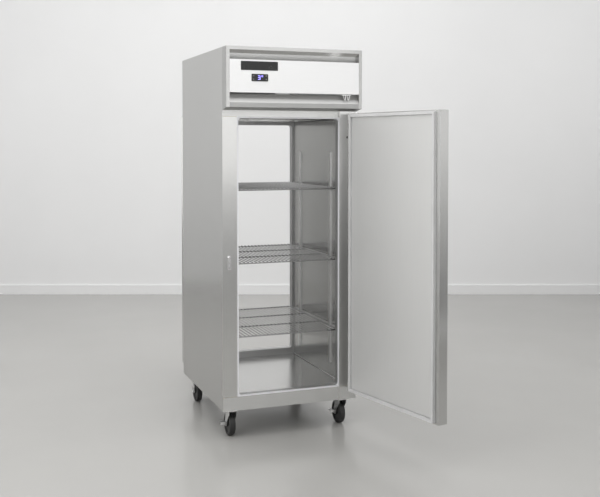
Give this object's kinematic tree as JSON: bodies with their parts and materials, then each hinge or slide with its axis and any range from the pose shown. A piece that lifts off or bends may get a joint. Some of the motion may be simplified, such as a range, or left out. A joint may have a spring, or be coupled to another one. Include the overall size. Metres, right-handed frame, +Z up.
{
  "type": "reach-in refrigerator",
  "caption": "Pass-through reach-in refrigerator cabinet with hinged front and rear doors, wire shelves, a top-mounted refrigeration unit behind a hood, and casters.",
  "frame": {"origin": "on the floor, under the middle of the cabinet in width and depth", "axes": "+Z up, +Y from the front to the back of the cabinet, +X to the right as seen from the front"},
  "size_m": [0.9472, 2.3732, 2.09],
  "materials": {
    "stainless": "satin",
    "hood_panel": "satin",
    "galvanised": "satin",
    "foam": "matte",
    "liner_aluminium": "satin",
    "door_liner": "satin",
    "breaker_plastic": "satin",
    "shelf_wire": "gloss",
    "shelf_hardware": "satin",
    "coil_aluminium": "satin",
    "fan_plastic": "satin",
    "housing_plastic": "satin",
    "display_black": "gloss",
    "badge_black": "gloss",
    "bright_wire": "gloss",
    "compressor_black": "satin",
    "copper": "satin",
    "bright_hardware": "gloss",
    "gasket_grey": "matte",
    "switch_black": "satin",
    "zinc": "satin",
    "caster_rubber": "matte"
  },
  "bodies": {
    "cabinet": {"badge_plate": "badge_black", "base_pan": "galvanised", "breaker_strips": "breaker_plastic", "caster_plates": "zinc", "ceiling_duct_cover": "liner_aluminium", "compressor": "compressor_black", "condenser_coil": "coil_aluminium", "condenser_fan_shroud": "galvanised", "control_box": "galvanised", "display_module": "display_black", "door_switch": "switch_black", "evaporator_coil": "coil_aluminium", "evaporator_housing": "housing_plastic", "foam_insulation": "foam", "front_face_frame": "stainless", "hinge_brackets": "bright_hardware", "hood_air_scoop": "stainless", "hood_frame": "stainless", "hood_panel": "hood_panel", "liner_ceiling": "liner_aluminium", "liner_floor": "liner_aluminium", "liner_side_walls": "liner_aluminium", "rear_face_frame": "stainless", "rear_grille": "galvanised", "refrigerant_lines": "copper", "roof_pan": "galvanised", "shelf_clips": "shelf_hardware", "shelf_pilasters": "shelf_hardware", "side_panel_left": "stainless", "side_panel_right": "stainless", "strike_plates": "bright_hardware", "unit_base_plate": "galvanised"},
    "shelf_upper": {"shelf_upper": "shelf_wire"},
    "shelf_middle": {"shelf_middle": "shelf_wire"},
    "shelf_lower": {"shelf_lower": "shelf_wire"},
    "front_door": {"front_door_pan": "stainless", "front_door_foam": "foam", "front_door_liner": "door_liner", "front_door_gasket": "gasket_grey", "front_door_handle": "bright_hardware"},
    "rear_door": {"rear_door_pan": "stainless", "rear_door_foam": "foam", "rear_door_liner": "door_liner", "rear_door_gasket": "gasket_grey", "rear_door_handle": "bright_hardware"},
    "front_lock": {"front_door_lock": "bright_hardware"},
    "rear_lock": {"rear_door_lock": "bright_hardware"},
    "evaporator_fan": {"evaporator_fan": "fan_plastic"},
    "condenser_fan": {"condenser_fan": "fan_plastic"},
    "key_hangers": {"key_hangers": "bright_wire"},
    "caster_front_left": {"caster_fork_front_left": "zinc"},
    "wheel_front_left": {"caster_wheel_front_left": "caster_rubber"},
    "brake_front_left": {"brake_lever_front_left": "zinc"},
    "caster_front_right": {"caster_fork_front_right": "zinc"},
    "wheel_front_right": {"caster_wheel_front_right": "caster_rubber"},
    "brake_front_right": {"brake_lever_front_right": "zinc"},
    "caster_rear_left": {"caster_fork_rear_left": "zinc"},
    "wheel_rear_left": {"caster_wheel_rear_left": "caster_rubber"},
    "caster_rear_right": {"caster_fork_rear_right": "zinc"},
    "wheel_rear_right": {"caster_wheel_rear_right": "caster_rubber"}
  },
  "joints": [
    {"name": "front_door_hinge", "type": "hinge", "parent": "cabinet", "child": "front_door", "pos_m": [0.362, -0.502, 1], "axis": [0, 0, 1], "range_deg": [-102.4, 17.6]},
    {"name": "rear_door_hinge", "type": "hinge", "parent": "cabinet", "child": "rear_door", "pos_m": [-0.362, 0.502, 1], "axis": [0, 0, 1], "range_deg": [-62, 58]},
    {"name": "front_lock_turn", "type": "hinge", "parent": "front_door", "child": "front_lock", "pos_m": [0.5063, -1.15832, 1.04], "axis": [0.9767, 0.2147, 0], "range_deg": [0, 90]},
    {"name": "rear_lock_turn", "type": "hinge", "parent": "rear_door", "child": "rear_lock", "pos_m": [-0.04652, 1.09534, 1.04], "axis": [-0.8829, 0.4695, 0], "range_deg": [0, 90]},
    {"name": "shelf_upper_lift", "type": "slide", "parent": "cabinet", "child": "shelf_upper", "axis": [0, 0, 1], "range_m": [0, 0.03]},
    {"name": "shelf_middle_lift", "type": "slide", "parent": "cabinet", "child": "shelf_middle", "axis": [0, 0, 1], "range_m": [0, 0.03]},
    {"name": "shelf_lower_lift", "type": "slide", "parent": "cabinet", "child": "shelf_lower", "axis": [0, 0, 1], "range_m": [0, 0.03]},
    {"name": "evaporator_fan_spin", "type": "hinge", "parent": "cabinet", "child": "evaporator_fan", "pos_m": [0.17, 0.26, 1.905], "axis": [0, 1, 0], "continuous": true},
    {"name": "condenser_fan_spin", "type": "hinge", "parent": "cabinet", "child": "condenser_fan", "pos_m": [-0.21, -0.32, 1.92], "axis": [0, 1, 0], "continuous": true},
    {"name": "key_hanger_swing", "type": "hinge", "parent": "cabinet", "child": "key_hangers", "pos_m": [0.293, -0.518, 1.845], "axis": [1, 0, 0], "range_deg": [-60, 0]},
    {"name": "caster_swivel_front_left", "type": "hinge", "parent": "cabinet", "child": "caster_front_left", "pos_m": [-0.321, -0.381, 0.144], "axis": [0, 0, 1], "continuous": true},
    {"name": "wheel_spin_front_left", "type": "hinge", "parent": "caster_front_left", "child": "wheel_front_left", "pos_m": [-0.321, -0.351, 0.0635], "axis": [1, 0, 0], "continuous": true},
    {"name": "brake_press_front_left", "type": "hinge", "parent": "caster_front_left", "child": "brake_front_left", "pos_m": [-0.3465, -0.351, 0.0635], "axis": [1, 0, 0], "range_deg": [0, 20]},
    {"name": "caster_swivel_front_right", "type": "hinge", "parent": "cabinet", "child": "caster_front_right", "pos_m": [0.321, -0.381, 0.144], "axis": [0, 0, 1], "continuous": true},
    {"name": "wheel_spin_front_right", "type": "hinge", "parent": "caster_front_right", "child": "wheel_front_right", "pos_m": [0.321, -0.351, 0.0635], "axis": [1, 0, 0], "continuous": true},
    {"name": "brake_press_front_right", "type": "hinge", "parent": "caster_front_right", "child": "brake_front_right", "pos_m": [0.2955, -0.351, 0.0635], "axis": [1, 0, 0], "range_deg": [0, 20]},
    {"name": "caster_swivel_rear_left", "type": "hinge", "parent": "cabinet", "child": "caster_rear_left", "pos_m": [-0.321, 0.381, 0.144], "axis": [0, 0, 1], "continuous": true},
    {"name": "wheel_spin_rear_left", "type": "hinge", "parent": "caster_rear_left", "child": "wheel_rear_left", "pos_m": [-0.321, 0.351, 0.0635], "axis": [1, 0, 0], "continuous": true},
    {"name": "caster_swivel_rear_right", "type": "hinge", "parent": "cabinet", "child": "caster_rear_right", "pos_m": [0.321, 0.381, 0.144], "axis": [0, 0, 1], "continuous": true},
    {"name": "wheel_spin_rear_right", "type": "hinge", "parent": "caster_rear_right", "child": "wheel_rear_right", "pos_m": [0.321, 0.351, 0.0635], "axis": [1, 0, 0], "continuous": true}
  ]
}
